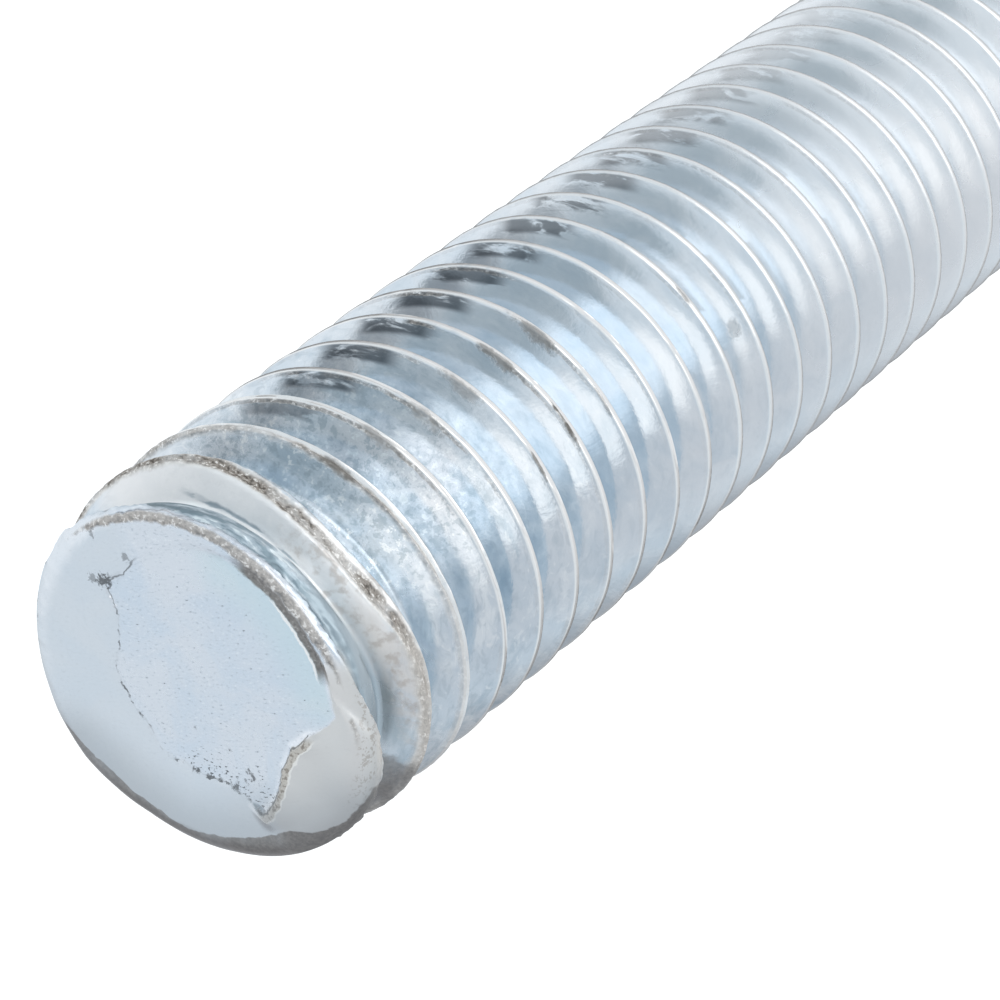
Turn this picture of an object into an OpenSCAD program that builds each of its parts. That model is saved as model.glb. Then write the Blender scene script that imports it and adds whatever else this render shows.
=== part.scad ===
// Length of metric threaded rod with a right-hand thread. It stands on its
// foot along +Z. The foot is cut square and chamfered. The top is sheared
// off: the crests shrink towards it, and metal from the last turn is rolled
// over its face as a rim around an off-centre disc.

/* [Rod] */
// Length, from the foot to the sheared end
rod_l = 75; // [40:5:150]
// Outside diameter, over full crests
thread_d = 7.83; // [6:0.01:12]

/* [Thread] */
// Distance along the rod from one crest to the next
pitch = 1.25; // [0.8:0.05:1.75]
// Slope of each flank, from square across the rod
flank_slope = 30; // [25:0.5:32]

/* [Foot] */
// Chamfer around the foot, both across and along the rod
foot_chamfer = 0.9; // [0.2:0.05:1.5]

/* [Sheared end] */
// How far the sheared end's edge lies inside the full crests
end_drop = 0.58; // [0.1:0.02:1]
// Length over which the crests grow back to full size
end_taper = 4.3; // [1:0.1:10]
// Width of the rolled-over rim where it is narrowest
rim_narrow = 0.35; // [0.1:0.05:0.8]
// Width of the rolled-over rim where it is widest
rim_wide = 1.6; // [0.9:0.05:2]
// Direction of the widest rim about the axis
rim_turn = 80; // [0:1:359]
// Height of the rim over the disc inside it
rim_h = 0.12; // [0.02:0.01:0.3]
// Width of the step from the rim down to the disc
rim_step = 0.1; // [0.05:0.05:0.3]

/* [Hidden] */

// The thread form of a metric screw, as shares of its pitch
crest_w = pitch / 8;
thread_depth = 0.6134 * pitch;
thread_r = thread_d / 2;
ridge_w = crest_w + 2 * thread_depth * tan(flank_slope);

// Facets go to the thread evenly, so a longer or finer thread has fewer sides
thread_facets = 11500;
row_count = 4;
sides = 4 * round(thread_facets / (8 * row_count * rod_l / pitch));

// The first crest lies wholly under the foot, and a crest meets the sheared
// end's face at the start of a turn. Rows this close to an end are left out.
turns = ceil(rod_l / pitch) + 2;
first_crest_z = rod_l - turns * pitch;
end_gap = 0.04 * pitch;

// Height of a crest's middle on one of the rod's sides
function crest_z(side, crest) = first_crest_z + pitch * (crest + side / sides);

// Largest radius left by the foot's chamfer and the sheared end's taper
function envelope_r(z) =
    let (inside = max(0, 1 - max(0, rod_l - z) / end_taper))
    min(thread_r - end_drop * inside ^ 2, thread_r - foot_chamfer + max(0, z));

// Radius of the full thread form at a distance along the rod from a crest
function form_r(along) =
    thread_r - min(thread_depth, max(0, along - crest_w / 2) / tan(flank_slope));

// Radius of the rod on one of its sides
function rod_r(side, z) =
    let (turn = (z - crest_z(side, 0)) / pitch)
    min(envelope_r(z), form_r(pitch * abs(turn - round(turn))));

// A crest that is cut down is as wide as its ridge is there
function crest_half(z) =
    min(crest_w / 2 + (thread_r - envelope_r(z)) * tan(flank_slope), 0.49 * ridge_w);

// Heights of a turn's rows: its crest's two edges, then the root's two edges
function row_z(side, row) =
    let (crest = floor(row / row_count), mid = crest_z(side, crest))
    let (half = crest_half(mid))
    mid + [-half, half, ridge_w / 2, pitch - ridge_w / 2][row - crest * row_count];

// Each side's lowest and highest row inside the rod
top_row = row_count * (turns + 1);
low_row = [for (side = [0 : sides - 1])
    min([for (row = [0 : 4 * row_count]) if (row_z(side, row) > end_gap) row])];
high_row = [for (side = [0 : sides - 1])
    max([for (row = [top_row - 4 * row_count : top_row])
        if (row_z(side, row) < rod_l - end_gap) row])];

// A side's points run up from the foot's edge, row by row, to the end's edge
function polar(r, side, z) = [r * cos(360 * side / sides), r * sin(360 * side / sides), z];
function on_rod(side, z) = polar(rod_r(side, z), side, z);
function side_points(side) = [
    on_rod(side, 0),
    for (row = [low_row[side] : high_row[side]]) on_rod(side, row_z(side, row)),
    on_rod(side, rod_l)
];
foot_id = [for (side = 0, id = 0; side < sides;
    id = id + high_row[side] - low_row[side] + 3, side = side + 1) id];

// After a whole turn a side meets the first one, a turn's rows further up
function low(side) = side < sides ? low_row[side] : low_row[0] - row_count;
function high(side) = side < sides ? high_row[side] : high_row[0] - row_count;
function foot(side) = foot_id[side % sides];
function edge(side) = foot(side) + high_row[side % sides] - low_row[side % sides] + 2;
function at(side, row) =
    side < sides ? foot_id[side] + 1 + row - low_row[side] : at(0, row + row_count);

// Facets between one side and the next
function strip(side) = let (next = side + 1) [
    [foot(side), at(next, low(next)), foot(next)],
    for (row = [low(next) : 1 : low(side) - 1]) [foot(side), at(next, row + 1), at(next, row)],
    [foot(side), at(side, low(side)), at(next, low(side))],
    for (row = [low(side) : high(next) - 1])
        each [[at(side, row), at(side, row + 1), at(next, row + 1)],
            [at(side, row), at(next, row + 1), at(next, row)]],
    [edge(next), at(next, high(next)), at(side, high(next))],
    for (row = [high(next) : 1 : high(side) - 1]) [edge(next), at(side, row), at(side, row + 1)],
    [edge(side), edge(next), at(side, high(side))]
];

// The rim's inner edge, and the disc's edge a step further in and down
function rim_w(side) =
    let (swing = cos(360 * side / sides - rim_turn))
    (rim_wide + rim_narrow) / 2 + swing * (rim_wide - rim_narrow) / 2;
function rim_point(side, extra, z) =
    polar(rod_r(side, rod_l) - rim_w(side) - extra, side, z);

side_total = foot_id[sides - 1] + high_row[sides - 1] - low_row[sides - 1] + 3;
points = [
    for (side = [0 : sides - 1]) each side_points(side),
    for (side = [0 : sides - 1]) rim_point(side, 0, rod_l),
    for (side = [0 : sides - 1]) rim_point(side, rim_step, rod_l - rim_h),
    [0, 0, rod_l - rim_h],
    [0, 0, 0]
];
function rim(side) = side_total + side % sides;
function disc(side) = rim(side) + sides;
disc_mid = side_total + 2 * sides;
foot_mid = disc_mid + 1;

facets = [
    for (side = [0 : sides - 1]) each strip(side),
    for (side = [0 : sides - 1]) each [
        [edge(side), rim(side), rim(side + 1)],
        [edge(side), rim(side + 1), edge(side + 1)],
        [rim(side), disc(side), disc(side + 1)],
        [rim(side), disc(side + 1), rim(side + 1)],
        [disc_mid, disc(side + 1), disc(side)],
        [foot_mid, foot(side), foot(side + 1)]
    ]
];

module threaded_rod() {
    color([0.76, 0.81, 0.86])
        polyhedron(points = points, faces = facets, convexity = 10);
}

threaded_rod();
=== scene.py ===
import math
from functools import reduce
from types import SimpleNamespace

import bmesh
import bpy
from mathutils import Euler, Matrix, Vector, noise


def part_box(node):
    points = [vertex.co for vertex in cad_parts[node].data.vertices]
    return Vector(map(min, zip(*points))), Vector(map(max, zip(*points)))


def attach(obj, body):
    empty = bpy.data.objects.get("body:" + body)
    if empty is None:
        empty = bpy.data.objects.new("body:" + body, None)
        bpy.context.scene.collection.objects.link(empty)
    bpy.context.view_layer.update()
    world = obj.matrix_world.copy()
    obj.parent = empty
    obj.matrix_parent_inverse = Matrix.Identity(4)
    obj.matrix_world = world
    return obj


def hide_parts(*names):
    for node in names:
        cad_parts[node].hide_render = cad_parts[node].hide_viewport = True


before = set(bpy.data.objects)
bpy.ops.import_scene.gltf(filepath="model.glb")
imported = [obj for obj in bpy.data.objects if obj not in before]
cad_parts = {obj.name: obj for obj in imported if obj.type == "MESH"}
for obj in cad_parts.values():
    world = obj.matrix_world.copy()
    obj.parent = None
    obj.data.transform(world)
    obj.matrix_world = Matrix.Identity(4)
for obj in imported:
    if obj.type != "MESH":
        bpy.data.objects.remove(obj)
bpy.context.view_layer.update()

# ---------------------------------------------------------------- sizes, in millimetres

MM = 0.001
rod_low, rod_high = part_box("threaded_rod")
ROD_L = (rod_high[2] - rod_low[2]) / MM
THREAD_R = (rod_high[0] - rod_low[0]) / MM / 2

# The thread: a right-hand helix whose crest meets the sheared end at bearing 0.
# Bearings are degrees about the rod's axis, from +X towards +Y.
PITCH = 1.25
CREST_W = PITCH / 8
CREST_FLAT = PITCH / 14
THREAD_DEPTH = 0.6134 * PITCH
FLANK_TAN = math.tan(math.radians(30))
ROOT_FILLET = 0.06
FLANK_BOW = 0.03

FOOT_CHAMFER = 0.9

# The sheared end's outer edge: bearing, share of the thread's radius
END_EDGE = (
    (0, 0.95), (30, 0.985), (50, 1.015), (65, 1.02), (78, 0.99), (90, 0.96), (120, 0.94),
    (150, 0.945), (180, 0.96), (210, 0.92), (240, 0.865), (270, 0.86), (300, 0.87),
    (325, 0.88), (345, 0.935), (360, 0.95),
)
# The crests are thinned over this length, and over a greater one where the end tore
END_TAPER = 2.3
TORN_TAPER = 4.3
TAPER_SPAN = (235, 275)
# The edge is rolled round between these bearings, and nearly sharp elsewhere: the
# rounding's width across the face and its depth
ROLLED_SPAN = (-10, 190)
ROLLED_EDGE = (0.46, 0.38)
SHARP_EDGE = (0.14, 0.10)
# The first crest is a thin flange, which falls over its slope to a plain neck between it
# and the second. Each forms between two bearings, and the neck reaches this share of a
# pitch past the crest.
FLANGE_L = 0.15
FLANGE_SLOPE = 0.12
FLANGE_FORMS = (188, 225)
NECK_R = 0.855
NECK_FORMS = (20, 150)
NECK_REACH = 0.6
# The second crest bulges towards the end: how far in pitches, its middle's bearing and
# depth, and how far the bulge reaches either way
BULGE = 0.24
BULGE_BEARING = 252
BULGE_SPREAD = 45
BULGE_DEPTH = 1.45
BULGE_REACH = 1.1
# Bearings between which the sheared metal was pressed over the thread's first groove,
# and how far past the first crest it begins to show and is full
FILLED_SPAN = (15, 200)
FILLED_EDGE = (0.15, -0.05)

# The seam in the crests: its width as a share of the crest's, its depth along the rod,
# the depth that the sheared end adds, and how far below the end that fades out
SEAM_W = 0.38
SEAM_DEPTH = 0.02
SEAM_DEPTH_ADDED = 0.09
SEAM_SETTLES = (1.5, 5)
# Roughness of the crests, what the sheared end adds to it, and that of the whole side
CREST_ROUGH = 0.004
CREST_ROUGH_ADDED = 0.035
SIDE_ROUGH = 0.006

# The rolled rim's inner edge on the face: bearing, share of the thread's radius
RIM_EDGE = (
    (0, 0.45), (15, 0.44), (30, 0.47), (45, 0.45), (60, 0.45), (70, 0.43),
    (85, 0.50), (100, 0.48), (115, 0.50), (130, 0.52), (144, 0.70), (160, 0.62),
    (170, 0.57), (185, 0.57), (197, 0.65), (208, 0.79), (240, 0.77), (270, 0.78),
    (300, 0.72), (315, 0.66), (330, 0.60), (343, 0.62), (350, 0.50), (360, 0.45),
)
RIM_WANDER = 0.04
DISC_DROP = 0.05
# Bearings between which the rim has no fold, because the metal tore off there, and the
# share of the rim's height that it lost
TORN_SPAN = (205, 316)
TORN_DROP = 0.6
# Half the width of the step from the disc up to the rim, also between the bearings where
# the disc runs into the rim without a step
STEP_HALF = 0.09
FADED_HALF = 0.35
FADED_SPAN = (202, 226)
CRACK_W = 0.05
CRACK_DEPTH = 0.03
# The raised lip where the rolled metal ends: its bearings and height, how far out from
# the disc it is highest and how slowly it falls from there
LIP_SPAN = (144, 193)
LIP_H = 0.11
LIP_FROM = 0.08
LIP_RUN = 0.28
# The recess beside the first crest, its place and width as shares of the thread's radius
RECESS_SPAN = (226, 266)
RECESS_R = 0.79
RECESS_W = 0.026
RECESS_DEPTH = 0.11
# Where the painted shade under the end begins: bearing, share of the thread's radius
UNDERSIDE_SHADE_EDGE = (
    (0, 1.0), (45, 0.97), (60, 0.90), (72, 0.845), (91, 0.825), (105, 0.84), (125, 0.80),
    (142, 0.79), (150, 0.80), (159, 0.86), (170, 0.925), (182, 0.952), (190, 0.965),
    (206, 1.0), (360, 1.0),
)
# Bearings between which the end's edge is ragged, its width as a share of the thread's
# radius, and its height
RAGGED_SPAN = (207, 338)
RAGGED_W = 0.04
RAGGED_H = 0.05
# The face's shape fades out over this distance from its outer edge
FACE_MARGIN = 0.35

# ---------------------------------------------------------------- mesh

# Heights of the profile's points within one pitch, about the crest's middle
PROFILE_SHARES = (-0.5, -0.41, -0.24, -0.08, -0.036, 0.036, 0.08, 0.18, 0.30, 0.41, 0.5)
COLUMNS = 72
FINE_L = 12.5
FINEST_L = 2.7
FINE_FOOT_L = FOOT_CHAMFER + 0.3
FACE_RINGS = 36
FOOT_RINGS = 3
# Points closer than this are joined where turns meet, and edges bent more than this
# angle look sharp
JOINED = 0.002
SHARP_DEGREES = 48


def smooth_step(low, high, value):
    """Goes smoothly from 0 to 1 as the value goes from low to high, or down to high."""
    share = min(1, max(0, (value - low) / (high - low)))
    return share * share * (3 - 2 * share)


def bearing_gap(bearing, middle):
    return (bearing - middle + 180) % 360 - 180


def within(span, bearing, blend=8):
    """1 between a span's two bearings, falling smoothly to 0 outside them."""
    low, high = span
    rise = smooth_step(low - blend, low, bearing)
    return rise * (1 - smooth_step(high, high + blend, bearing))


def toward(bearing, elevation):
    """Unit direction at a bearing about the rod and an elevation over square to it."""
    turn, rise = math.radians(bearing), math.radians(elevation)
    return Vector((math.cos(turn) * math.cos(rise), math.sin(turn) * math.cos(rise),
                   math.sin(rise)))


def bulge(bearing):
    """How far the second crest is bent towards the end at a bearing, in pitches."""
    away = bearing_gap(bearing, BULGE_BEARING) / BULGE_SPREAD
    return BULGE * smooth_step(1, 0, abs(away))


def crest_offset(bearing, z):
    """Distance from the nearest crest in pitches, positive towards the sheared end."""
    turn = (z - ROD_L) / PITCH - bearing / 360
    far = (ROD_L - z - BULGE_DEPTH) / BULGE_REACH
    turn -= bulge(bearing) * smooth_step(1, 0, abs(far))
    return turn - round(turn)


def first_crest_depth(bearing):
    return PITCH * (1 - bearing / 360)


def read_off(outline, bearing):
    """An outline's share of the thread's radius at a bearing, between its points."""
    bearing %= 360
    for (low, low_share), (high, high_share) in zip(outline, outline[1:]):
        if low <= bearing <= high:
            return low_share + (high_share - low_share) * (bearing - low) / (high - low)


def mix(low, high, share):
    return low + (high - low) * share


def envelope_r(bearing, z):
    """Largest radius left by the foot's chamfer and by the shearing of the end."""
    foot = THREAD_R - FOOT_CHAMFER + max(0, z)
    depth = max(0, ROD_L - z)
    taper = mix(END_TAPER, TORN_TAPER, within(TAPER_SPAN, bearing, 35))
    left = max(0, 1 - depth / taper)
    end = THREAD_R * (1 - (1 - read_off(END_EDGE, bearing)) * left ** 2)
    rolled = within(ROLLED_SPAN, bearing, 30) + within(ROLLED_SPAN, bearing - 360, 30)
    width, fall = (mix(*sizes, rolled) for sizes in zip(SHARP_EDGE, ROLLED_EDGE))
    rounding = max(0, 1 - depth / fall)
    end -= width * (1 - math.sqrt(max(0, 1 - rounding ** 2)))
    return min(foot, end)


def neck_r(bearing, z):
    """Largest radius under the first crest, where the metal was pulled into the end."""
    depth = ROD_L - z
    crest = first_crest_depth(bearing)
    if not 0 < depth < crest + (NECK_REACH - bulge(bearing)) * PITCH:
        return THREAD_R
    flange = mix(crest, FLANGE_L, smooth_step(*FLANGE_FORMS, bearing))
    drop = smooth_step(flange, flange + FLANGE_SLOPE, depth)
    return THREAD_R * mix(1, NECK_R, drop * smooth_step(*NECK_FORMS, bearing))


def filled_r(bearing, z):
    """Smallest radius before the first crest, where the shear pressed metal over it."""
    shows, full = (first_crest_depth(bearing) + past for past in FILLED_EDGE)
    fill = within(FILLED_SPAN, bearing, 22) * smooth_step(shows, full, ROD_L - z)
    return mix(THREAD_R - THREAD_DEPTH, envelope_r(bearing, z), fill)


def thread_form_r(offset):
    """Radius of the metric thread form at an offset from the crest, in pitches."""
    along = abs(offset) * PITCH
    over = max(0, along - CREST_FLAT / 2)
    cut = over ** 2 / (over + (CREST_W - CREST_FLAT) / 2) / FLANK_TAN
    cut -= FLANK_BOW * math.sin(math.pi * min(1, cut / THREAD_DEPTH))
    over = max(0, cut - THREAD_DEPTH + ROOT_FILLET)
    rounded = ROOT_FILLET * (1 - math.exp(-over / ROOT_FILLET))
    return THREAD_R - min(cut, THREAD_DEPTH - ROOT_FILLET + rounded)


def rough(point, size, seed=0.0):
    """Even noise from -1 to 1 whose lumps are about one size across."""
    return noise.noise(Vector(point) / size + Vector((seed, seed, seed)))


def rod_r(bearing, z, point):
    """Radius of the rod's side, with the seams that rolling leaves in its crests."""
    offset = crest_offset(bearing, z)
    form = thread_form_r(offset)
    envelope = envelope_r(bearing, z)
    radius = min(form, envelope, max(neck_r(bearing, z), THREAD_R - THREAD_DEPTH))
    radius = max(radius, filled_r(bearing, z))

    # A crest that the shearing cut down is wider by what its flanks slope
    half = CREST_W / 2 + max(0, THREAD_R - envelope) * FLANK_TAN
    across = offset * PITCH / half
    if abs(across) < 1.1:
        near = 1 - smooth_step(*SEAM_SETTLES, ROD_L - z)
        trimmed = max(0, form - envelope)
        on_crest = smooth_step(0.0, 0.05, trimmed + 0.02 - max(0, abs(offset) - 0.06))
        seam = math.exp(-(across / SEAM_W) ** 2)
        ragged = 0.55 + 0.45 * rough(point, 0.5, 3)
        radius -= (SEAM_DEPTH + SEAM_DEPTH_ADDED * near) * seam * ragged
        grit = CREST_ROUGH + CREST_ROUGH_ADDED * near
        radius += grit * rough(point, 0.11, 7) * on_crest
    return radius + SIDE_ROUGH * rough(point, 0.6, 1)


def face_z(bearing, radius, inset, point):
    """Height of the sheared face over the rod's nominal end, by how far inside the
    face's own edge it is."""
    share = radius / THREAD_R
    edge = THREAD_R * read_off(RIM_EDGE, bearing) + RIM_WANDER * rough(point, 0.5, 11)
    past = radius - edge
    half = mix(STEP_HALF, FADED_HALF, within(FADED_SPAN, bearing, 6))
    on_rim = smooth_step(-half, half, past)
    torn = within(TORN_SPAN, bearing)
    disc = -DISC_DROP + 0.010 * rough(point, 0.8, 5) + 0.004 * rough(point, 0.27, 8)
    rim = 0.012 * rough(point, 1.4, 9)
    height = disc + (rim - disc) * on_rim * (1 - TORN_DROP * torn)

    crack = math.exp(-(past / CRACK_W) ** 2) * (1 - torn)
    height -= CRACK_DEPTH * crack * (0.5 + 0.5 * rough(point, 0.4, 13))
    lip = within(LIP_SPAN, bearing, 8) * on_rim
    height += LIP_H * lip * math.exp(-max(0, past - LIP_FROM) / LIP_RUN)
    recess = within(RECESS_SPAN, bearing, 12)
    recess *= math.exp(-((share - RECESS_R) / RECESS_W) ** 2)
    height -= RECESS_DEPTH * recess
    inner = read_off(END_EDGE, bearing) - RAGGED_W
    ragged = within(RAGGED_SPAN, bearing, 12)
    ragged *= smooth_step(inner - 0.02, inner + 0.02, share)
    height += RAGGED_H * ragged * (rough(point, 0.16, 17) + 0.3)
    return height * smooth_step(0, FACE_MARGIN, inset)


def profile_turn(bm):
    """One turn of the thread: a pitch of its profile, spun up along the helix."""
    row = [
        bm.verts.new((thread_form_r(share), 0, share * PITCH))
        for share in PROFILE_SHARES
    ]
    profile = [bm.edges.new(pair) for pair in zip(row, row[1:])]
    bmesh.ops.spin(
        bm, geom=row + profile, cent=(0, 0, 0), axis=(0, 0, 1),
        dvec=(0, 0, PITCH / COLUMNS), angle=math.tau, steps=COLUMNS,
        use_merge=False, use_duplicate=False,
    )


def stack_turns(bm):
    """Copies the turn along the rod, from under the foot to over the end."""
    turns = math.ceil(ROD_L / PITCH) + 3
    bmesh.ops.translate(bm, vec=(0, 0, ROD_L - (turns - 1) * PITCH), verts=bm.verts)
    turn = bm.verts[:] + bm.edges[:] + bm.faces[:]
    for number in range(1, turns):
        copy = bmesh.ops.duplicate(bm, geom=turn)["geom"]
        moved = [part for part in copy if isinstance(part, bmesh.types.BMVert)]
        bmesh.ops.translate(bm, vec=(0, 0, number * PITCH), verts=moved)
    bmesh.ops.remove_doubles(bm, verts=bm.verts, dist=JOINED)


def refine(bm, low, high):
    """Halves the spacing of the rows and columns between two heights."""
    edges = {
        edge for face in bm.faces
        if low < face.calc_center_median().z < high
        for edge in face.edges
    }
    bmesh.ops.subdivide_edges(bm, edges=list(edges), cuts=1, use_grid_fill=True)


def cut_square(bm, z, up):
    """Cuts the rod square and takes off what is past the cut. Returns the cut's edges."""
    bmesh.ops.bisect_plane(
        bm, geom=bm.verts[:] + bm.edges[:] + bm.faces[:], dist=0.0005,
        plane_co=(0, 0, z), plane_no=(0, 0, up), clear_outer=True,
    )
    return [edge for edge in bm.edges if edge.is_boundary
            and all(abs(vert.co.z - z) < 0.001 for vert in edge.verts)]


def close_with_rings(bm, rim, z, rings):
    """Fills a cut with rings that shrink to its middle. Returns the rings' vertices."""
    added = []
    for ring in range(rings, 1, -1):
        grown = bmesh.ops.extrude_edge_only(bm, edges=rim)["geom"]
        verts = [part for part in grown if isinstance(part, bmesh.types.BMVert)]
        rim = [part for part in grown if isinstance(part, bmesh.types.BMEdge)
               and part.is_boundary]
        share = (ring - 1) / ring
        bmesh.ops.scale(bm, vec=(share, share, 1), verts=verts)
        added += verts
    bmesh.ops.pointmerge(bm, verts=verts, merge_co=(0, 0, z))
    return [vert for vert in added if vert.is_valid]


def place_about_axis(vert):
    """A vertex's bearing about the rod's axis and its distance from the axis."""
    bearing = math.degrees(math.atan2(vert.co.y, vert.co.x)) % 360
    return bearing, math.hypot(vert.co.x, vert.co.y)


def shape_side(bm):
    for vert in bm.verts:
        bearing, across = place_about_axis(vert)
        radius = rod_r(bearing, vert.co.z, vert.co)
        vert.co.x *= radius / across
        vert.co.y *= radius / across


def shape_face(verts):
    for vert in verts:
        bearing, radius = place_about_axis(vert)
        inset = envelope_r(bearing, ROD_L) - radius
        vert.co.z += face_z(bearing, radius, inset, vert.co)


def add_object(name, data):
    added = bpy.data.objects.new(name, data)
    bpy.context.collection.objects.link(added)
    return added


def add_mesh(bm, name):
    mesh = bpy.data.meshes.new(name)
    bm.to_mesh(mesh)
    bm.free()
    return add_object(name, mesh)


def threaded_rod():
    bm = bmesh.new()
    profile_turn(bm)
    stack_turns(bm)
    refine(bm, ROD_L - FINE_L, ROD_L + PITCH)
    refine(bm, ROD_L - FINEST_L, ROD_L + PITCH)
    refine(bm, -PITCH, FINE_FOOT_L)
    end_rim = cut_square(bm, ROD_L, 1)
    foot_rim = cut_square(bm, 0, -1)
    shape_side(bm)
    face_verts = close_with_rings(bm, end_rim, ROD_L, FACE_RINGS)
    close_with_rings(bm, foot_rim, 0, FOOT_RINGS)
    shape_face(face_verts)
    bmesh.ops.recalc_face_normals(bm, faces=bm.faces)
    bmesh.ops.triangulate(bm, faces=[face for face in bm.faces if len(face.verts) > 4])
    bmesh.ops.scale(bm, vec=(MM, MM, MM), verts=bm.verts)
    for face in bm.faces:
        face.smooth = True
    rod = add_mesh(bm, "threaded_rod_rolled")
    rod.data.set_sharp_from_angle(angle=math.radians(SHARP_DEGREES))
    return rod


# ---------------------------------------------------------------- materials


def new_material(name):
    material = bpy.data.materials.new(name)
    material.use_nodes = True
    tree = material.node_tree
    tree.nodes.clear()
    return material, tree


def node(tree, kind, inputs=None, **settings):
    """Adds a node, sets its properties, and sets or links its inputs."""
    made = tree.nodes.new(kind)
    for name, value in settings.items():
        setattr(made, name, value)
    for name, value in (inputs or {}).items():
        socket = made.inputs[name]
        if isinstance(value, bpy.types.NodeSocket):
            tree.links.new(value, socket)
        else:
            socket.default_value = value
    return made


def calc(tree, operation, *values):
    made = node(tree, "ShaderNodeMath", dict(enumerate(values)), operation=operation)
    return made.outputs[0]


def chain(tree, operation, values):
    return reduce(lambda so_far, value: calc(tree, operation, so_far, value), values)


def product(tree, *values):
    return chain(tree, "MULTIPLY", values)


def total(tree, *values):
    return chain(tree, "ADD", values)


def most(tree, *values):
    return chain(tree, "MAXIMUM", values)


def minus(tree, value, less):
    return calc(tree, "SUBTRACT", value, less)


def inverse(tree, share):
    return minus(tree, 1.0, share)


def absolute(tree, value):
    return calc(tree, "ABSOLUTE", value)


def band(tree, value, low, high, start=0.0, end=1.0):
    """A smooth ramp from start to end as the value goes from low to high."""
    made = node(tree, "ShaderNodeMapRange", {
        "Value": value, "From Min": low, "From Max": high, "To Min": start, "To Max": end,
    }, interpolation_type="SMOOTHSTEP")
    return made.outputs["Result"]


def fade(tree, value, low, high):
    """1 up to the low value, falling smoothly to 0 at the high one."""
    return band(tree, value, low, high, 1.0, 0.0)


def strip(tree, value, low, full, falling, high):
    """Rises from 0 at low to 1 at full, and goes from 1 at falling back to 0 at high."""
    return product(tree, band(tree, value, low, full), fade(tree, value, falling, high))


def within_turns(tree, bearing, span, blend=8):
    """1 between a span's two bearings in degrees, where bearing counts turns."""
    low, high = span[0] / 360, span[1] / 360
    return strip(tree, bearing, low - blend / 360, low, high, high + blend / 360)


def mottle(tree, point, size_mm, detail=3.0, distortion=0.0, roughness=0.55):
    made = node(tree, "ShaderNodeTexNoise", {
        "Vector": point, "Scale": 1 / (size_mm * MM), "Detail": detail,
        "Roughness": roughness, "Distortion": distortion,
    })
    return made.outputs["Fac"]


def tint(tree, amount, below, above):
    """Goes from the colour below to the colour above as the amount goes from 0 to 1."""
    made = node(tree, "ShaderNodeMix", {0: amount, 6: below, 7: above}, data_type="RGBA")
    return made.outputs[2]


def patch(tree, below, pattern, low, high, strength, where, colour):
    """Lays a colour where a pattern goes from low to high, on one part of the rod."""
    amount = product(tree, band(tree, pattern, low, high), strength, where)
    return tint(tree, amount, below, colour)


def outline_curve(tree, outline, bearing):
    """An outline on the face as a share of the thread's radius, by bearing in turns."""
    curve = node(tree, "ShaderNodeFloatCurve", {"Value": bearing})
    points = curve.mapping.curves[0].points
    for number, (degrees, share) in enumerate(outline):
        place = (degrees / 360, share)
        if number < 2:
            points[number].location = place
        else:
            points.new(*place)
    for point in points:
        point.handle_type = "VECTOR"
    curve.mapping.update()
    return curve.outputs["Value"]


# Stains and bruises: bearing, depth below the sheared end, spread about the axis in
# degrees, height along the rod, strength
MARKS = (
    (270, 2.76, 8, 0.13, 0.80),
    (269, 3.99, 9, 0.10, 0.55),
    (266, 5.22, 9, 0.11, 0.50),
    (267, 6.48, 9, 0.10, 0.55),
    (267, 7.74, 10, 0.10, 0.70),
    (266, 8.99, 10, 0.11, 0.70),
    (241, 7.86, 9, 0.05, 1.0),
    (237, 6.62, 6, 0.04, 0.8),
    (240, 9.10, 6, 0.04, 0.5),
    (249, 12.85, 5, 0.05, 0.6),
    (255, 13.25, 3, 0.14, 0.5),
    (231, 13.95, 4, 0.10, 0.3),
)
# Broken pits on the face: bearing, share of the thread's radius, size, strength
PITS = (
    (342, 0.63, 0.21, 1.0),
    (346, 0.68, 0.13, 0.6),
    (338, 0.57, 0.10, 0.5),
    (332, 0.83, 0.12, 0.6),
    (323, 0.67, 0.10, 0.6),
    (147, 0.50, 0.14, 0.9),
    (141, 0.53, 0.10, 0.7),
    (134, 0.54, 0.12, 0.9),
    (141, 0.36, 0.09, 0.8),
    (163, 0.37, 0.06, 0.7),
    (164, 0.42, 0.05, 0.7),
    (165, 0.47, 0.06, 0.7),
    (165, 0.52, 0.05, 0.7),
    (108, 0.25, 0.07, 0.6),
    (51, 0.43, 0.05, 0.6),
)
# The way that the face's fine scratches run, as a bearing
BRUSHED = 39

# The plate's clouds: pattern, where it begins to show and shows in full, strength, colour
CLOUDS = (
    ("streak", 0.50, 0.30, 0.70, (0.43, 0.53, 0.61, 1)),
    ("streak", 0.56, 0.70, 0.60, (0.86, 0.91, 0.94, 1)),
    ("cloud", 0.50, 0.34, 0.45, (0.46, 0.54, 0.60, 1)),
    ("cloud", 0.58, 0.70, 0.50, (0.88, 0.92, 0.94, 1)),
    ("grey", 0.54, 0.72, 0.70, (0.76, 0.77, 0.79, 1)),
    ("fleck", 0.40, 0.28, 0.25, (0.42, 0.50, 0.57, 1)),
    ("fleck", 0.64, 0.74, 0.50, (0.90, 0.94, 0.96, 1)),
    ("crumb", 0.49, 0.42, 0.60, (0.37, 0.45, 0.50, 1)),
    ("crumb", 0.56, 0.62, 0.70, (0.93, 0.97, 0.98, 1)),
)
ZINC = (0.62, 0.70, 0.77, 1)
ZINC_PALE = (0.72, 0.775, 0.825, 1)
ZINC_FAR_HIGHLIGHT = (0.885, 0.90, 0.915, 1)
DARK_REFLECTION = (0.10, 0.12, 0.14, 1)
NECK_SHADE = (0.42, 0.51, 0.57, 1)
NECK_DARK = (0.24, 0.32, 0.37, 1)
NECK_CLEAR = (0.84, 0.93, 0.96, 1)
NECK_HIGHLIGHT = (0.92, 0.97, 0.98, 1)
FLANK_PALE = (0.91, 0.915, 0.915, 1)
GROOVE_SHADE = (0.36, 0.44, 0.49, 1)
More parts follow.
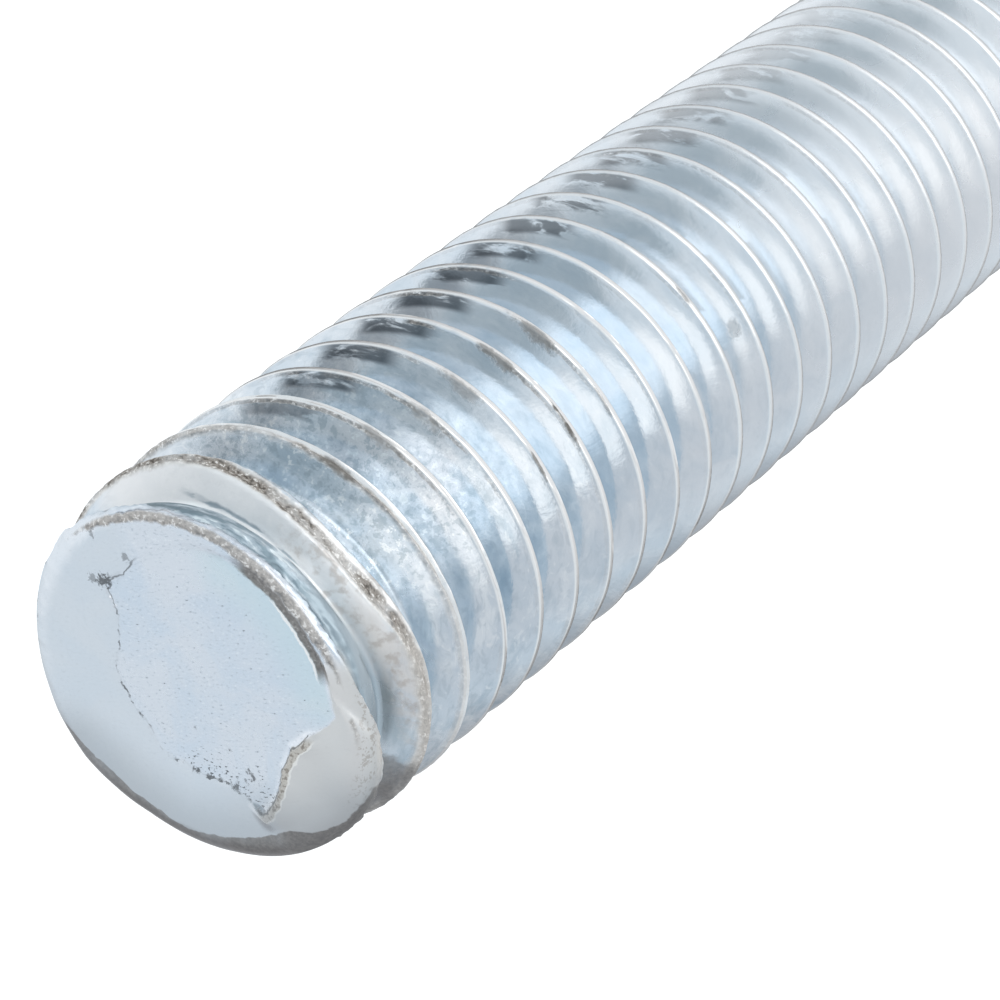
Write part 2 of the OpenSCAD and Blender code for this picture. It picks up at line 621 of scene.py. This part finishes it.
SHADOW_LINE_DARK = (0.27, 0.34, 0.39, 1)
BEIGE = (0.80, 0.765, 0.725, 1)
BEIGE_DARK = (0.50, 0.46, 0.42, 1)
FACE = (0.68, 0.755, 0.84, 1)
FACE_PALE = (0.755, 0.795, 0.85, 1)
SCRATCH_DARK = (0.48, 0.54, 0.60, 1)
SCRATCH_BRIGHT = (0.90, 0.94, 0.97, 1)
DISC_CLEAR = (0.64, 0.78, 0.83, 1)
RIM = (0.71, 0.755, 0.80, 1)
ROLLED_METAL = (0.74, 0.735, 0.72, 1)
FOLD_DARK = (0.30, 0.26, 0.22, 1)
FOLD_TAN = (0.66, 0.63, 0.58, 1)
LIP_HIGHLIGHT = (0.95, 0.95, 0.93, 1)
GLINT = (0.96, 0.96, 0.95, 1)
CREST_BRIGHT = (0.88, 0.88, 0.87, 1)
SEAM_PALE = (0.80, 0.77, 0.73, 1)
TORN_PALE = (0.74, 0.70, 0.66, 1)
STEEL_DARK = (0.11, 0.095, 0.08, 1)
STEEL_BROWN = (0.37, 0.335, 0.30, 1)
STEEL_BRIGHT = (0.88, 0.86, 0.83, 1)
RECESS_SHADE = (0.11, 0.09, 0.075, 1)
SPECK = (0.42, 0.38, 0.34, 1)
STAIN = (0.17, 0.16, 0.145, 1)
HOLLOW_SHADE = (0.10, 0.11, 0.12, 1)
SHADE_VEIL_GREY = (0.42, 0.45, 0.48, 1)
UNDERSIDE_SHADE_DARK = (0.24, 0.235, 0.235, 1)
UNDERSIDE_SHADE_GREY = (0.30, 0.29, 0.285, 1)

# Bearings of the plate's crumbs near the end, of the painted dark reflections along the
# flanks, and of the dirtier seams
CRUMB_SPAN = (240, 305)
DARK_REFLECTION_SPAN = (293, 309)
DIRTY_SPAN = (255, 300)
# Bearings about the torn groove: the groove itself, its clear streaks, the painted shadow
# line that ends it, the painted highlight streak beside that, and its painted slate shade
NECK_SPAN = (225, 325)
CLEAR_SPAN = (262, 320)
PAINTED_LINES_SPAN = (232, 298)
HIGHLIGHT_STREAK_SPAN = (262, 304)
GROOVE_SHADE_SPAN = (192, 243)
# Bearings of the second crest's pale flank and of its beige part, and those where the
# seams of all the crests are faded
FLANK_SPAN = (225, 330)
BEIGE_SPAN = (188, 256)
FADED_SEAM_SPAN = (150, 216)
# Bearings of the face's parts: the bright rolled metal, the specks on its edge, the
# disc's clear side, its crowded pits, where the crack is split, dotted or faint, and the
# painted highlight line beside the recess
ROLLED_METAL_SPAN = (150, 222)
SPECK_SPAN = (180, 216)
DISC_CLEAR_SPAN = (215, 275)
PITTED_SPAN = (108, 152)
SPLIT_SPAN = (318, 346)
DOTTED_SPAN = (92, 140)
FAINT_SPAN = (74, 92)
GLINT_SPAN = (222, 250)
# Bearings of the painted shade under the end: on the rolled edge, in the groove over it,
# and its thin veil
UNDERSIDE_SHADE_SPAN = (60, 194)
GROOVE_UNDERSIDE_SHADE_SPAN = (148, 174)
SHADE_VEIL_SPAN = (60, 176)

# Depths between which the seams narrow, and their middle, half-width and wander in
# pitches at those depths
SEAM_NARROWS = (1.5, 4.0)
SEAM_MIDDLE = (0.02, 0.08)
SEAM_HALF = (0.115, 0.02)
SEAM_WANDER = (0.10, 0.04)


def place_on_rod(tree):
    """Where a shaded point is on the rod, with the noises that several parts share."""
    at = SimpleNamespace(point=node(tree, "ShaderNodeTexCoord").outputs["Object"])
    x, y, z = node(tree, "ShaderNodeSeparateXYZ", {0: at.point}).outputs
    across = calc(tree, "SQRT", total(tree, product(tree, x, x), product(tree, y, y)))
    at.share = calc(tree, "DIVIDE", across, THREAD_R * MM)
    at.depth = minus(tree, ROD_L, calc(tree, "DIVIDE", z, MM))
    swing = calc(tree, "DIVIDE", calc(tree, "ARCTAN2", y, x), math.tau)
    at.bearing = calc(tree, "FRACT", total(tree, swing, 1.0))

    away = absolute(tree, minus(tree, at.bearing, BULGE_BEARING / 360))
    far = absolute(tree, minus(tree, at.depth, BULGE_DEPTH))
    bent = product(tree, fade(tree, away, 0, BULGE_SPREAD / 360),
                   band(tree, far, 0, BULGE_REACH, BULGE, 0.0))
    turn = minus(tree, calc(tree, "DIVIDE", at.depth, -PITCH), at.bearing)
    turn = minus(tree, turn, bent)
    at.offset = minus(tree, turn, calc(tree, "ROUND", turn))

    at.blotch = mottle(tree, at.point, 1.5, detail=5, distortion=0.6)
    at.fleck = mottle(tree, at.point, 0.28, detail=4)
    at.laid = node(tree, "ShaderNodeMapping", {
        "Vector": at.point, "Scale": (0.55, 0.55, 1),
    }).outputs[0]
    at.grain = mottle(tree, at.laid, 0.055, detail=2, roughness=0.7)
    # Run out flat and shortened along the thread, for streaks that follow it
    at.unrolled = node(tree, "ShaderNodeCombineXYZ", {
        0: product(tree, at.bearing, 4.0 * MM), 1: product(tree, at.depth, MM),
        2: product(tree, at.share, 2.0 * MM),
    }).outputs[0]
    brushed = node(tree, "ShaderNodeMapping", {
        "Vector": at.point, "Rotation": (0, 0, math.radians(BRUSHED)), "Scale": (2, 1, 1),
    }, vector_type="TEXTURE").outputs[0]
    at.scratch = mottle(tree, brushed, 0.05, detail=3)
    at.wobble = product(tree, minus(tree, at.fleck, 0.5), 0.05)
    return at


def divide_rod(tree, at):
    """Adds the surface's parts, each 1 there and 0 elsewhere, and how far a point is past
    the rim's inner edge."""
    at.on_side = band(tree, at.depth, 0.12, 0.30)
    at.on_face = inverse(tree, at.on_side)
    torn = product(tree, within_turns(tree, at.bearing, RAGGED_SPAN, 10),
                   fade(tree, at.depth, 0.7, 0.9))
    at.thread = product(tree, at.on_side, inverse(tree, torn))
    # The torn groove between the first two crests, and the second crest's flank beyond it
    at.neck = product(tree, within_turns(tree, at.bearing, NECK_SPAN, 15),
                      band(tree, at.depth, 0.05, 0.15), fade(tree, at.depth, 0.5, 0.95))
    at.flank = product(tree, within_turns(tree, at.bearing, FLANK_SPAN, 15),
                       band(tree, at.depth, 0.6, 0.9), fade(tree, at.depth, 1.3, 1.6))

    edge = outline_curve(tree, RIM_EDGE, at.bearing)
    at.past = total(tree, minus(tree, at.share, edge), at.wobble)
    at.disc = product(tree, fade(tree, at.past, -0.02, 0.01), at.on_face)
    at.folded = inverse(tree, within_turns(tree, at.bearing, TORN_SPAN))
    at.rolled = product(tree, within_turns(tree, at.bearing, ROLLED_METAL_SPAN, 10),
                        band(tree, at.past, 0.0, 0.02), fade(tree, at.depth, 0.4, 0.6))
    at.lip = product(tree, within_turns(tree, at.bearing, LIP_SPAN, 4), at.on_face)


def clouded_plate(tree, at):
    """Blue-white plate: clouded and streaked near the end, evener along the rod."""
    drawn = node(tree, "ShaderNodeMapping", {
        "Vector": at.point, "Scale": (1, 1, 5),
    }).outputs[0]
    patterns = {
        "streak": mottle(tree, drawn, 1.1, detail=5, distortion=0.4),
        "cloud": mottle(tree, drawn, 0.42, detail=5, distortion=0.8),
        "grey": mottle(tree, at.point, 2.6, detail=3),
        "fleck": at.fleck,
        "crumb": mottle(tree, at.point, 0.22, detail=6, roughness=0.7),
    }
    busy = band(tree, at.depth, 3.0, 11.0, 1.0, 0.3)
    near = product(tree, fade(tree, at.depth, 3.0, 8.0),
                   within_turns(tree, at.bearing, CRUMB_SPAN, 25))
    side = tint(tree, band(tree, at.blotch, 0.36, 0.64), ZINC, ZINC_PALE)
    for name, low, high, strength, colour in CLOUDS:
        where = near if name == "crumb" else busy
        side = patch(tree, side, patterns[name], low, high, strength, where, colour)
    return side


def painted_reflections(tree, at, side):
    """Painted reflections: dark strokes along the flanks, and plate painted paler far along
    the rod as a painted highlight.
    """
    # Painted reflection: dark strokes painted on the flanks in place of mirrored dark
    # surroundings
    where = product(tree, within_turns(tree, at.bearing, DARK_REFLECTION_SPAN, 8),
                    strip(tree, at.offset, 0.04, 0.08, 0.17, 0.22),
                    band(tree, at.depth, 2.5, 4.5),
                    band(tree, at.depth, 18.0, 28.0, 1.0, 0.3))
    reflected = mottle(tree, at.unrolled, 0.15, detail=5, distortion=0.5)
    side = patch(tree, side, reflected, 0.62, 0.50, 0.9, where, DARK_REFLECTION)
    # Painted highlight: the plate is painted paler far along the rod
    return tint(tree, band(tree, at.depth, 9.0, 24.0, 0.0, 0.6), side, ZINC_FAR_HIGHLIGHT)


def torn_groove(tree, at, side):
    """The torn groove's painted shade and its streaks, the painted shadow line and painted
    highlight line that end it, and the pale flank beyond.
    """
    streak = mottle(tree, at.unrolled, 0.13, detail=4, distortion=0.3)
    # Painted shade: the groove is tinted a darker blue
    side = tint(tree, product(tree, at.neck, 0.7), side, NECK_SHADE)
    side = patch(tree, side, streak, 0.53, 0.42, 0.9, at.neck, NECK_DARK)
    clear = product(tree, at.neck, within_turns(tree, at.bearing, CLEAR_SPAN, 14))
    side = patch(tree, side, streak, 0.54, 0.62, 0.8, clear, NECK_CLEAR)
    side = tint(tree, product(tree, at.flank, 0.85), side, FLANK_PALE)

    # The painted shadow and highlight lines lie deeper at greater bearings
    lined = product(tree, within_turns(tree, at.bearing, PAINTED_LINES_SPAN, 10),
                    band(tree, streak, 0.44, 0.56, 1.0, 0.35))
    line_depth = total(tree, 0.10, product(tree, at.bearing, 1.1))
    down = total(tree, at.wobble, minus(tree, at.depth, line_depth))
    # Painted highlight streak beside the shadow line
    white = product(tree, lined, strip(tree, down, -0.20, -0.13, -0.09, -0.04),
                    within_turns(tree, at.bearing, HIGHLIGHT_STREAK_SPAN, 10))
    side = tint(tree, product(tree, white, 0.9), side, NECK_HIGHLIGHT)
    # Painted shadow line that ends the groove
    dark = product(tree, lined, fade(tree, absolute(tree, down), 0.01, 0.04))
    return tint(tree, product(tree, dark, 0.9), side, SHADOW_LINE_DARK)


def shaded_groove(tree, at, side):
    """Painted shade, slate-coloured, in the groove, and the mottled beige flank beyond it.
    """
    # The painted shade goes less deep at greater bearings
    deep = total(tree, at.depth, product(tree, at.bearing, 4.5), at.wobble)
    beyond = band(tree, deep, 3.84, 4.08)
    inner = product(tree, band(tree, at.share, 0.885, 0.868),
                    band(tree, at.depth, 0.30, 0.42))
    shade = product(tree, within_turns(tree, at.bearing, GROOVE_SHADE_SPAN, 12),
                    most(tree, band(tree, at.depth, 0.65, 0.8), inner),
                    inverse(tree, beyond))
    side = tint(tree, product(tree, shade, 0.75), side, GROOVE_SHADE)
    beige = product(tree, within_turns(tree, at.bearing, BEIGE_SPAN, 18), beyond,
                    fade(tree, at.depth, 1.7, 1.95))
    side = patch(tree, side, at.blotch, 0.40, 0.58, 0.6, beige, BEIGE)
    return patch(tree, side, at.fleck, 0.47, 0.66, 0.6, beige, BEIGE_DARK)


def brushed_face(tree, at):
    face = tint(tree, band(tree, at.blotch, 0.36, 0.64), FACE, FACE_PALE)
    face = tint(tree, band(tree, at.scratch, 0.30, 0.44, 0.5, 0.0), face, SCRATCH_DARK)
    return tint(tree, band(tree, at.scratch, 0.58, 0.70, 0.0, 0.4), face, SCRATCH_BRIGHT)


def zinc_colour(tree, at):
    side = clouded_plate(tree, at)
    side = painted_reflections(tree, at, side)
    side = torn_groove(tree, at, side)
    side = shaded_groove(tree, at, side)
    return tint(tree, at.on_face, side, brushed_face(tree, at))


def dull_steel(tree, at):
    """Brown-grey metal with dark and bright grains, where the plate never took."""
    dull = tint(tree, band(tree, at.grain, 0.34, 0.54), STEEL_DARK, STEEL_BROWN)
    return tint(tree, band(tree, at.grain, 0.56, 0.64), dull, STEEL_BRIGHT)


def bright_crests(tree, at, colour):
    """Worn, bright crests, wider where the end's shearing cut them down."""
    cut = calc(tree, "POWER", fade(tree, at.depth, 0.0, TORN_TAPER), 1.3)
    half = total(tree, CREST_W / 2 / PITCH, product(tree, cut, 0.10))
    reach = calc(tree, "DIVIDE", absolute(tree, at.offset), half)
    worn = product(tree, fade(tree, reach, 0.85, 1.1), at.thread,
                   band(tree, at.fleck, 0.2, 0.5, 0.4, 0.9),
                   band(tree, at.depth, 8.0, 20.0, 1.0, 0.6))
    return tint(tree, worn, colour, CREST_BRIGHT)


def crest_seams(tree, at, colour, dull):
    """The crests' dull seam: wide and rough near the sheared end, and thin along the
    edge that faces the end elsewhere. Returns the colour and where the seam is."""
    middle, half, wander = (
        band(tree, at.depth, *SEAM_NARROWS, *sizes)
        for sizes in (SEAM_MIDDLE, SEAM_HALF, SEAM_WANDER)
    )
    drift = product(tree, minus(tree, at.fleck, 0.5), wander)
    aside = minus(tree, total(tree, at.offset, drift), middle)
    aside = calc(tree, "DIVIDE", absolute(tree, aside), half)

    broken = band(tree, mottle(tree, at.laid, 0.5, detail=3), 0.36, 0.54, 0.45, 1.0)
    near = product(tree, fade(tree, at.depth, *SEAM_NARROWS), broken)
    patches = band(tree, mottle(tree, at.point, 1.6, detail=4), 0.42, 0.6, 0.0, 0.7)
    dirty = product(tree, within_turns(tree, at.bearing, DIRTY_SPAN, 30), 0.65)
    elsewhere = product(tree, patches, band(tree, at.depth, 6.0, 12.0, 1.0, 0.3),
                        total(tree, 0.35, dirty))
    seam = product(tree, fade(tree, aside, 0.6, 1.3), most(tree, near, elsewhere),
                   at.thread)

    faded = product(tree, within_turns(tree, at.bearing, FADED_SEAM_SPAN, 16), 0.55)
    dull = tint(tree, faded, dull, SEAM_PALE)
    pale = tint(tree, 0.5, dull, SEAM_PALE)
    shaded = tint(tree, band(tree, aside, 0.5, 1.1), dull, pale)
    return tint(tree, seam, colour, shaded), seam


def stains(tree, at, colour):
    """Stains and bruises on the flanks. Returns the colour and where they are."""
    uneven = total(tree, product(tree, at.fleck, 1.9), product(tree, at.grain, 0.8))
    amount = 0.0
    for place, down, spread, height, strength in MARKS:
        around = calc(tree, "DIVIDE", minus(tree, at.bearing, place / 360), spread / 360)
        along = calc(tree, "DIVIDE", minus(tree, at.depth, down), height)
        away = total(tree, product(tree, around, around), product(tree, along, along),
                     uneven)
        amount = most(tree, amount, band(tree, away, 1.4, 2.4, strength, 0.0))
    return tint(tree, amount, colour, STAIN), amount


def disc_and_rim(tree, at, colour):
    """The rolled metal with specks on its edge, the rim, and the disc's clear side."""
    colour = tint(tree, product(tree, at.rolled, 0.85), colour, ROLLED_METAL)
    specks = product(tree, within_turns(tree, at.bearing, SPECK_SPAN, 8),
                     band(tree, at.share, 0.89, 0.92), fade(tree, at.depth, 0.3, 0.5),
                     band(tree, total(tree, product(tree, at.fleck, 0.5), at.grain),
                          0.78, 0.86))
    colour = tint(tree, product(tree, specks, 0.5), colour, SPECK)
    rim = product(tree, inverse(tree, at.disc), at.folded, at.on_face,
                  inverse(tree, at.rolled))
    colour = tint(tree, product(tree, rim, 0.7), colour, RIM)
    clear = product(tree, at.disc, within_turns(tree, at.bearing, DISC_CLEAR_SPAN, 20),
                    band(tree, at.share, 0.45, 0.72))
    return tint(tree, product(tree, clear, 0.6), colour, DISC_CLEAR)


def folded_lip(tree, at, colour):
    """The lip's tan fold and the painted highlight line beside it. Returns the colour and
    where the fold is."""
    fold = product(tree, at.lip, strip(tree, at.past, -0.01, 0.0, 0.045, 0.055))
    tan = tint(tree, band(tree, at.grain, 0.36, 0.52), FOLD_DARK, FOLD_TAN)
    colour = tint(tree, product(tree, fold, 0.85), colour, tan)
    # Painted highlight along the fold's outer edge
    line = product(tree, at.lip, strip(tree, at.past, 0.042, 0.048, 0.052, 0.058))
    return tint(tree, product(tree, line, 0.8), colour, LIP_HIGHLIGHT), fold


def pits(tree, at):
    """Fine pits: sparse over the disc, crowded by the crack, and a few broken holes."""
    crowd = product(tree, within_turns(tree, at.bearing, PITTED_SPAN, 12),
                    band(tree, at.past, -0.22, -0.06))
    limit = total(tree, 0.29, product(tree, crowd, 0.12))
    amount = product(tree, band(tree, minus(tree, limit, at.scratch), -0.02, 0.03), at.disc)
    uneven = total(tree, product(tree, at.fleck, 1.2), product(tree, at.grain, 3.0))
    for place, share, size, strength in PITS:
        middle = THREAD_R * share * toward(place, 0) + Vector((0, 0, ROD_L))
        away = node(tree, "ShaderNodeVectorMath", {0: at.point, 1: middle * MM},
                    operation="DISTANCE").outputs["Value"]
        away = total(tree, calc(tree, "DIVIDE", away, size * MM), uneven)
        amount = most(tree, amount, band(tree, away, 2.4, 2.9, strength, 0.0))
    return amount


def disc_crack(tree, at):
    """The crack round the disc: broken, and dotted or faint in places."""
    broken = band(tree, mottle(tree, at.point, 0.20, detail=3), 0.46, 0.60, 0.06, 1.0)
    split = within_turns(tree, at.bearing, SPLIT_SPAN, 6)
    crease = most(tree, broken, product(tree, most(tree, at.lip, split), 0.8))
    dots = product(tree, within_turns(tree, at.bearing, DOTTED_SPAN, 6),
                   band(tree, at.grain, 0.45, 0.6), 0.010)
    line = minus(tree, absolute(tree, at.past), total(tree, 0.003, dots))
    faint = product(tree, within_turns(tree, at.bearing, FAINT_SPAN, 5), 0.85)
    return product(tree, fade(tree, line, -0.002, 0.003), crease, at.folded, at.on_face,
                   inverse(tree, faint))


def first_crest(tree, at, colour, dull):
    """The ragged edge where the end tore, with painted shade in a recess and a painted
    highlight line inside. Returns the colour, and where the bare metal and the recess's
    painted shade are."""
    inner = minus(tree, outline_curve(tree, END_EDGE, at.bearing), RAGGED_W)
    outside = total(tree, minus(tree, at.share, inner), at.wobble)
    ragged = product(tree, within_turns(tree, at.bearing, RAGGED_SPAN, 10),
                     band(tree, outside, -0.01, 0.01), fade(tree, at.depth, 0.05, 0.12))
    torn = tint(tree, band(tree, outside, 0.0, 0.03, 0.0, 0.4), dull, TORN_PALE)
    colour = tint(tree, product(tree, ragged, 0.85), colour, torn)

    # Painted shade in the recess beside the first crest
    aside = minus(tree, total(tree, at.share, at.wobble), RECESS_R)
    here = product(tree, within_turns(tree, at.bearing, RECESS_SPAN, 8), at.on_face)
    recess = product(tree, here, fade(tree, absolute(tree, aside), 0.026, 0.042))
    colour = tint(tree, product(tree, recess, 0.85), colour,
                  tint(tree, 0.35, RECESS_SHADE, dull))
    # Painted highlight line beside the recess
    glint = product(tree, here, within_turns(tree, at.bearing, GLINT_SPAN, 6),
                    strip(tree, aside, -0.050, -0.044, -0.038, -0.032))
    return tint(tree, glint, colour, GLINT), most(tree, ragged, recess)


def painted_underside_shade(tree, at, colour):
    """Painted shade: dark on the rounded underside of the end and in the groove over it,
    and a thin veil of it on the rim.
    """
    edge = outline_curve(tree, UNDERSIDE_SHADE_EDGE, at.bearing)
    past = minus(tree, total(tree, at.share, product(tree, at.wobble, 0.5)), edge)
    # A thin veil of painted shade, darker towards the bottom of the rim
    veil = product(tree, band(tree, past, -0.34, 0.02),
                   within_turns(tree, at.bearing, SHADE_VEIL_SPAN, 20),
                   band(tree, at.depth, 0.5, 0.9, 0.6, 0.0))
    colour = tint(tree, veil, colour, SHADE_VEIL_GREY)

    # Painted shade, dark and grained, on the rounded underside and in the groove over it
    rolled = product(tree, band(tree, past, 0.0, 0.03),
                     within_turns(tree, at.bearing, UNDERSIDE_SHADE_SPAN, 12),
                     fade(tree, at.depth, 0.5, 0.9))
    groove = product(tree, within_turns(tree, at.bearing, GROOVE_UNDERSIDE_SHADE_SPAN, 10),
                     band(tree, total(tree, at.depth, at.wobble), 0.60, 0.72),
                     fade(tree, at.depth, 1.5, 2.5))
    uneven = product(tree, minus(tree, at.fleck, 0.5), 0.9)
    under = product(tree,
                    band(tree, total(tree, most(tree, rolled, groove), uneven), 0.30, 0.75),
                    band(tree, at.blotch, 0.3, 0.6, 0.75, 1.0))
    dark = tint(tree, band(tree, at.grain, 0.35, 0.65), UNDERSIDE_SHADE_DARK, UNDERSIDE_SHADE_GREY)
    return tint(tree, under, colour, dark)


def zinc_plate():
    """Bright blue-white zinc over rolled steel, with dull seams along its crests."""
    material, tree = new_material("zinc_plate")
    at = place_on_rod(tree)
    divide_rod(tree, at)
    dull = dull_steel(tree, at)
    colour = bright_crests(tree, at, zinc_colour(tree, at))
    colour, seam = crest_seams(tree, at, colour, dull)
    colour, stained = stains(tree, at, colour)
    colour = disc_and_rim(tree, at, colour)
    colour, fold = folded_lip(tree, at, colour)
    # Painted shade in the pits and in the crack round the disc
    hollow = most(tree, pits(tree, at), disc_crack(tree, at))
    colour = tint(tree, product(tree, hollow, 0.88), colour, HOLLOW_SHADE)
    colour, ragged = first_crest(tree, at, colour, dull)
    colour = painted_underside_shade(tree, at, colour)

    soiled_and_shaded = most(tree, seam, ragged, stained, hollow, fold)
    near = product(tree, at.on_side, band(tree, at.depth, 1.5, 6.0, 0.15, 0.0))
    satin = total(tree, near, product(tree, at.neck, 0.12), product(tree, at.flank, 0.10),
                  band(tree, at.depth, 9.0, 20.0, 0.0, 0.12))
    gloss = total(tree, band(tree, at.blotch, 0.3, 0.7, 0.08, 0.19),
                  product(tree, soiled_and_shaded, 0.35), product(tree, at.disc, 0.10),
                  product(tree, at.rolled, 0.40), satin)
    metal = product(tree, band(tree, soiled_and_shaded, 0.0, 1.0, 1.0, 0.4),
                    inverse(tree, product(tree, at.flank, 0.4)))

    # Relief too fine for the mesh, in metres: all over, and coarser on the soiled places
    # and on the painted shade of the pits, the crack and the recess
    plated = node(tree, "ShaderNodeBump", {
        "Height": product(tree, at.blotch, 0.016 * MM), "Distance": 1.0, "Strength": 1.0,
    })
    relief = node(tree, "ShaderNodeBump", {
        "Height": product(tree, at.grain, 0.03 * MM), "Distance": 1.0,
        "Strength": total(tree, product(tree, soiled_and_shaded, 0.95), 0.05),
        "Normal": plated.outputs["Normal"],
    })
    surface = node(tree, "ShaderNodeBsdfPrincipled", {
        "Base Color": colour, "Metallic": metal, "Roughness": gloss,
        "Normal": relief.outputs["Normal"],
    })
    output = node(tree, "ShaderNodeOutputMaterial")
    tree.links.new(surface.outputs["BSDF"], output.inputs["Surface"])
    return material


# ---------------------------------------------------------------- stage

# The camera looks down at the sheared end from this bearing, elevation and distance, and
# aims at a place near it. Its sensor, lens and nearest view are in millimetres too.
CAMERA_BEARING = 247.55
CAMERA_ELEVATION = 40.47
CAMERA_DISTANCE = 65.77
CAMERA_AIM = (-0.795, 0.313, -9.179)
CAMERA_ROLL = -128.62
CAMERA_SENSOR = 36
CAMERA_LENS = 131.03
CAMERA_CLIP = 5

FLOOR_R = 0.15
FLOOR_MATT = (0.82, 0.82, 0.82, 1)
FLOOR_GLOW = 0.5
# The floor that the plate mirrors darkens away from the camera: between these places,
# from the first strength to the second, in this colour
FLOOR_SWEEP = (-0.06, 0.06)
FLOOR_SHINE = (0.40, 1.0)
FLOOR_MIRRORED = (0.97, 0.98, 1, 1)


def floor_material():
    """Pale matt floor that glows to the camera, and has a light of its own in the plate's
    mirror images."""
    material, tree = new_material("pale_floor")
    path = node(tree, "ShaderNodeLightPath")
    place = node(tree, "ShaderNodeTexCoord").outputs["Object"]
    nearer = node(tree, "ShaderNodeVectorMath", {
        0: place, 1: toward(CAMERA_BEARING, 0),
    }, operation="DOT_PRODUCT").outputs["Value"]
    matt = node(tree, "ShaderNodeBsdfDiffuse", {"Color": FLOOR_MATT})
    white = node(tree, "ShaderNodeEmission", {
        "Strength": product(tree, path.outputs["Is Camera Ray"], FLOOR_GLOW),
    })
    both = node(tree, "ShaderNodeAddShader", {0: matt.outputs[0], 1: white.outputs[0]})
    pool = node(tree, "ShaderNodeEmission", {
        "Color": FLOOR_MIRRORED,
        "Strength": band(tree, nearer, *FLOOR_SWEEP, *FLOOR_SHINE),
    })
    mirrored = node(tree, "ShaderNodeMixShader", {
        0: path.outputs["Is Glossy Ray"], 1: both.outputs[0], 2: pool.outputs[0],
    })
    node(tree, "ShaderNodeOutputMaterial", {"Surface": mirrored.outputs[0]})
    return material


def studio_floor():
    bm = bmesh.new()
    bmesh.ops.create_circle(bm, cap_ends=True, segments=64, radius=FLOOR_R)
    floor = add_mesh(bm, "studio_floor")
    floor.data.materials.append(floor_material())


# Soft fields of the studio's light: bearing, elevation, half-widths at full and at no
# strength in degrees, and the colour that the field changes the light to
STUDIO_LIGHT = (0.81, 0.86, 0.90, 1)
STUDIO_FIELDS = (
    (160, 50, 10, 40, (0.72, 0.74, 0.77, 1)),
    (98, -8, 20, 48, (0.50, 0.51, 0.53, 1)),
    (15, 22, 15, 45, (1.02, 1.04, 1.06, 1)),
    (247, -16, 22, 45, (1.7, 1.7, 1.7, 1)),
    (318, 62, 14, 24, (0.46, 0.52, 0.56, 1)),
    (200, 68, 12, 19, (1.28, 1.27, 1.26, 1)),
    (357, 42.5, 6, 13, (0.36, 0.38, 0.40, 1)),
)
BACKDROP = (1, 1, 1, 1)


def studio_world():
    world = bpy.data.worlds.new("studio")
    bpy.context.scene.world = world
    world.use_nodes = True
    tree = world.node_tree
    tree.nodes.clear()
    direction = node(tree, "ShaderNodeTexCoord").outputs["Generated"]
    light = STUDIO_LIGHT
    for bearing, elevation, inner, outer, colour in STUDIO_FIELDS:
        facing = node(tree, "ShaderNodeVectorMath", {
            0: direction, 1: toward(bearing, elevation),
        }, operation="DOT_PRODUCT").outputs["Value"]
        none, full = (math.cos(math.radians(width)) for width in (outer, inner))
        light = tint(tree, band(tree, facing, none, full), light, colour)
    seen = node(tree, "ShaderNodeLightPath").outputs["Is Camera Ray"]
    light = tint(tree, seen, light, BACKDROP)
    background = node(tree, "ShaderNodeBackground", {"Color": light})
    node(tree, "ShaderNodeOutputWorld", {"Surface": background.outputs[0]})


def camera():
    lens = bpy.data.cameras.new("camera")
    lens.sensor_width = CAMERA_SENSOR
    lens.lens = CAMERA_LENS
    lens.clip_start = CAMERA_CLIP * MM
    view = add_object("camera", lens)
    end = Vector((0, 0, ROD_L))
    place = end + CAMERA_DISTANCE * toward(CAMERA_BEARING, CAMERA_ELEVATION)
    aim = end + Vector(CAMERA_AIM)
    view.location = place * MM
    level = (aim - place).to_track_quat("-Z", "Y")
    roll = Euler((0, 0, math.radians(CAMERA_ROLL))).to_quaternion()
    view.rotation_euler = (level @ roll).to_euler()
    bpy.context.scene.camera = view


# ---------------------------------------------------------------- build

rod = threaded_rod()
rod.data.materials.append(zinc_plate())
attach(rod, "root")
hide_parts("threaded_rod")

studio_floor()
studio_world()
camera()
bpy.context.scene.view_settings.view_transform = "Standard"
